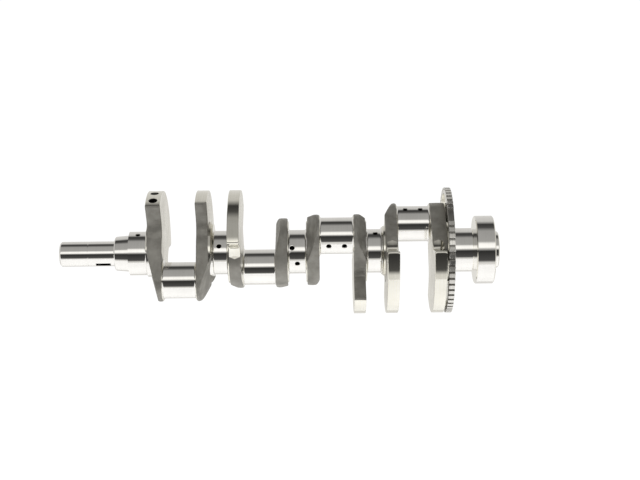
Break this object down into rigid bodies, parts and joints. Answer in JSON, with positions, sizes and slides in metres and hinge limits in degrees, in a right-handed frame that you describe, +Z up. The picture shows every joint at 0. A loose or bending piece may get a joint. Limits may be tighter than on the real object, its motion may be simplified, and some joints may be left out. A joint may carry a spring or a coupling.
{
  "type": "crankshaft",
  "caption": "Cross-plane V8 crankshaft with counterweights, oil drillings, a tapered gear seat, a toothed trigger wheel, a rear seal flange and a pilot ball bearing.",
  "frame": {"origin": "on the main axis, at the middle of main journal 3", "axes": "+X along the main axis towards the rear flange, +Z up, crankpin 1 at 150 degrees from +Z towards -Y"},
  "size_m": [0.6495, 0.186, 0.186],
  "materials": {
    "ground_journal": "ground and polished",
    "forged_cheek": "forged, with turned faces",
    "wheel_steel": "milled",
    "bearing_steel": "ground",
    "ball_steel": "polished",
    "cage_steel": "pressed",
    "plated_steel": "zinc plated",
    "hard_steel": "hardened and ground"
  },
  "bodies": {
    "crank": {"snout": "ground_journal", "gear_seat": "ground_journal", "main_journal_1": "ground_journal", "main_journal_2": "ground_journal", "main_journal_3": "ground_journal", "main_journal_4": "ground_journal", "main_journal_5": "ground_journal", "crankpin_1": "ground_journal", "crankpin_2": "ground_journal", "crankpin_3": "ground_journal", "crankpin_4": "ground_journal", "counterweight_1": "forged_cheek", "counterweight_2": "forged_cheek", "counterweight_3": "forged_cheek", "counterweight_6": "forged_cheek", "counterweight_7": "forged_cheek", "counterweight_8": "forged_cheek", "cheek_4": "forged_cheek", "cheek_5": "forged_cheek", "rear_neck": "ground_journal", "seal_flange": "ground_journal", "pilot_hub": "ground_journal", "flange_dowel": "hard_steel", "core_plug": "plated_steel", "trigger_wheel": "wheel_steel", "pilot_bearing_outer_ring": "bearing_steel", "pilot_bearing_front_shield": "plated_steel", "pilot_bearing_rear_shield": "plated_steel"},
    "inner_ring": {"pilot_bearing_inner_ring": "bearing_steel"},
    "ball_train": {"pilot_bearing_balls": "ball_steel", "pilot_bearing_cage": "cage_steel"}
  },
  "joints": [
    {"name": "pilot_ring_spin", "type": "hinge", "parent": "crank", "child": "inner_ring", "pos_m": [0.2895, 0, 0], "axis": [1, 0, 0], "continuous": true},
    {"name": "pilot_cage_orbit", "type": "hinge", "parent": "crank", "child": "ball_train", "pos_m": [0.2895, 0, 0], "axis": [1, 0, 0], "continuous": true}
  ],
  "couplings": [
    {"joint": "pilot_cage_orbit", "follows": "pilot_ring_spin", "ratio": 0.36074}
  ]
}
